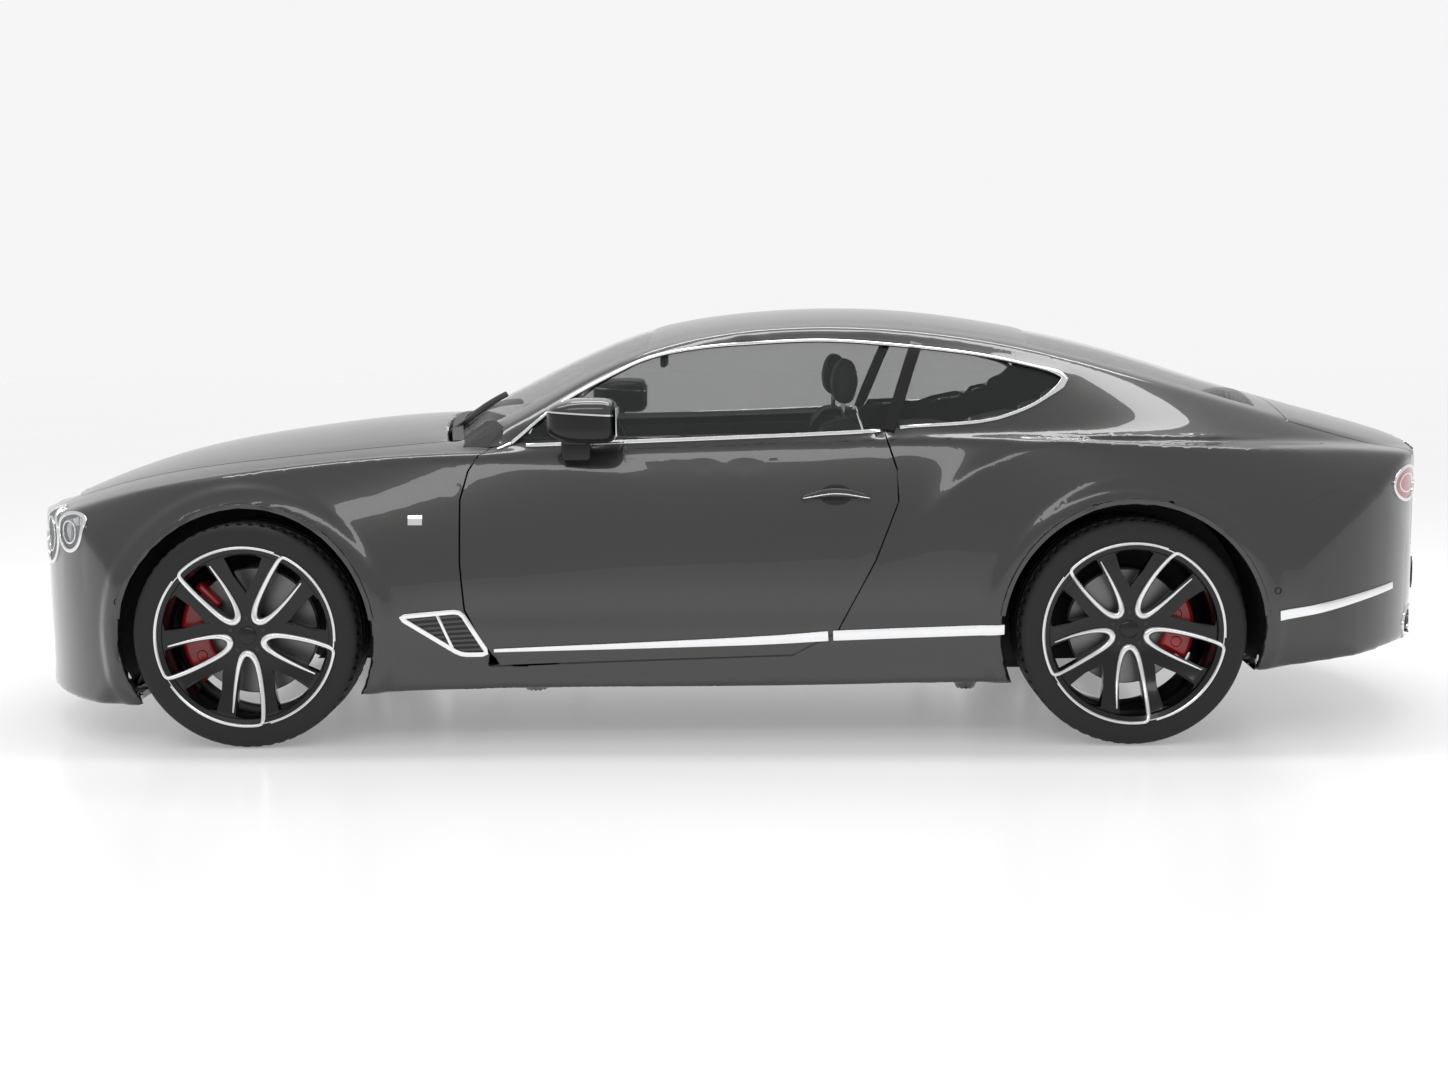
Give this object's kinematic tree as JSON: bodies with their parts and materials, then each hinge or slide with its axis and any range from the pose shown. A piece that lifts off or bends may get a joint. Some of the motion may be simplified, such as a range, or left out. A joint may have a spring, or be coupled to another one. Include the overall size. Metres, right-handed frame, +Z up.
{
  "type": "coupe car",
  "caption": "Two-door grand touring coupe with opening doors, bonnet and boot lid, steered front wheels, a hollow cabin and a boot.",
  "frame": {"origin": "on the ground under the middle of the overall length and width", "axes": "+X towards the tail, +Y to the car's right, +Z up"},
  "size_m": [4.85, 2.16, 1.4051],
  "materials": {
    "body_paint": "gloss metallic",
    "glass": "clear tinted",
    "chrome": "polished",
    "black_plastic": "matt",
    "underbody": "matt",
    "steel": "satin",
    "cast": "satin",
    "wheel_black": "gloss",
    "tyre": "matt",
    "brake_iron": "machined",
    "leather": "satin",
    "trim": "satin",
    "lamp": "clear",
    "red_lamp": "gloss"
  },
  "bodies": {
    "body": {"front_wings": "body_paint", "front_bumper": "body_paint", "grilles": "chrome", "roof": "body_paint", "windscreen": "glass", "rear_window": "glass", "body_side_left": "body_paint", "body_side_right": "body_paint", "rear_bumper": "body_paint", "quarter_windows": "glass", "floor_pan": "underbody", "bulkhead": "steel", "front_frame": "steel", "engine": "cast", "arch_liners": "black_plastic", "exhaust": "chrome", "headlamps": "lamp", "tail_lamps": "red_lamp", "dashboard": "trim", "front_seats": "leather", "rear_seat": "leather", "rear_frame": "steel"},
    "door_left": {"door_left": "body_paint", "door_glass_left": "glass", "mirror_left": "body_paint"},
    "door_right": {"door_right": "body_paint", "door_glass_right": "glass", "mirror_right": "body_paint"},
    "bonnet": {"bonnet": "body_paint"},
    "boot_lid": {"boot_lid": "body_paint"},
    "steering_wheel": {"steering_wheel": "leather"},
    "steering_left": {"knuckle_left": "steel"},
    "steering_right": {"knuckle_right": "steel"},
    "wheel_front_left": {"tyre_front_left": "tyre", "rim_front_left": "wheel_black", "brake_disc_front_left": "brake_iron"},
    "wheel_front_right": {"tyre_front_right": "tyre", "rim_front_right": "wheel_black", "brake_disc_front_right": "brake_iron"},
    "wheel_rear_left": {"tyre_rear_left": "tyre", "rim_rear_left": "wheel_black", "brake_disc_rear_left": "brake_iron"},
    "wheel_rear_right": {"tyre_rear_right": "tyre", "rim_rear_right": "wheel_black", "brake_disc_rear_right": "brake_iron"}
  },
  "joints": [
    {"name": "door_left_hinge", "type": "hinge", "parent": "body", "child": "door_left", "pos_m": [-0.746, -0.932, 0.525], "axis": [0, 0, -1], "range_deg": [0, 65]},
    {"name": "door_right_hinge", "type": "hinge", "parent": "body", "child": "door_right", "pos_m": [-0.746, 0.932, 0.525], "axis": [0, 0, 1], "range_deg": [0, 65]},
    {"name": "bonnet_hinge", "type": "hinge", "parent": "body", "child": "bonnet", "pos_m": [-0.895, 0, 1.03], "axis": [0, 1, 0], "range_deg": [0, 50]},
    {"name": "boot_lid_hinge", "type": "hinge", "parent": "body", "child": "boot_lid", "pos_m": [1.885, 0, 1.094], "axis": [0, -1, 0], "range_deg": [0, 70]},
    {"name": "steering_wheel_turn", "type": "hinge", "parent": "body", "child": "steering_wheel", "pos_m": [-0.33, -0.37, 0.88], "axis": [0.9063, 0, 0.4226], "range_deg": [-491, 491]},
    {"name": "steering_left_turn", "type": "hinge", "parent": "body", "child": "steering_left", "pos_m": [-1.545, -0.755, 0.366], "axis": [0, 0, 1], "range_deg": [-35, 35]},
    {"name": "steering_right_turn", "type": "hinge", "parent": "body", "child": "steering_right", "pos_m": [-1.545, 0.755, 0.366], "axis": [0, 0, 1], "range_deg": [-35, 35]},
    {"name": "wheel_front_left_spin", "type": "hinge", "parent": "steering_left", "child": "wheel_front_left", "pos_m": [-1.545, -0.825, 0.366], "axis": [0, -1, 0], "continuous": true},
    {"name": "wheel_front_right_spin", "type": "hinge", "parent": "steering_right", "child": "wheel_front_right", "pos_m": [-1.545, 0.825, 0.366], "axis": [0, -1, 0], "continuous": true},
    {"name": "wheel_rear_left_spin", "type": "hinge", "parent": "body", "child": "wheel_rear_left", "pos_m": [1.306, -0.82, 0.366], "axis": [0, -1, 0], "continuous": true},
    {"name": "wheel_rear_right_spin", "type": "hinge", "parent": "body", "child": "wheel_rear_right", "pos_m": [1.306, 0.82, 0.366], "axis": [0, -1, 0], "continuous": true}
  ],
  "couplings": [
    {"joint": "steering_right_turn", "follows": "steering_left_turn", "ratio": 1},
    {"joint": "steering_wheel_turn", "follows": "steering_left_turn", "ratio": 14}
  ]
}
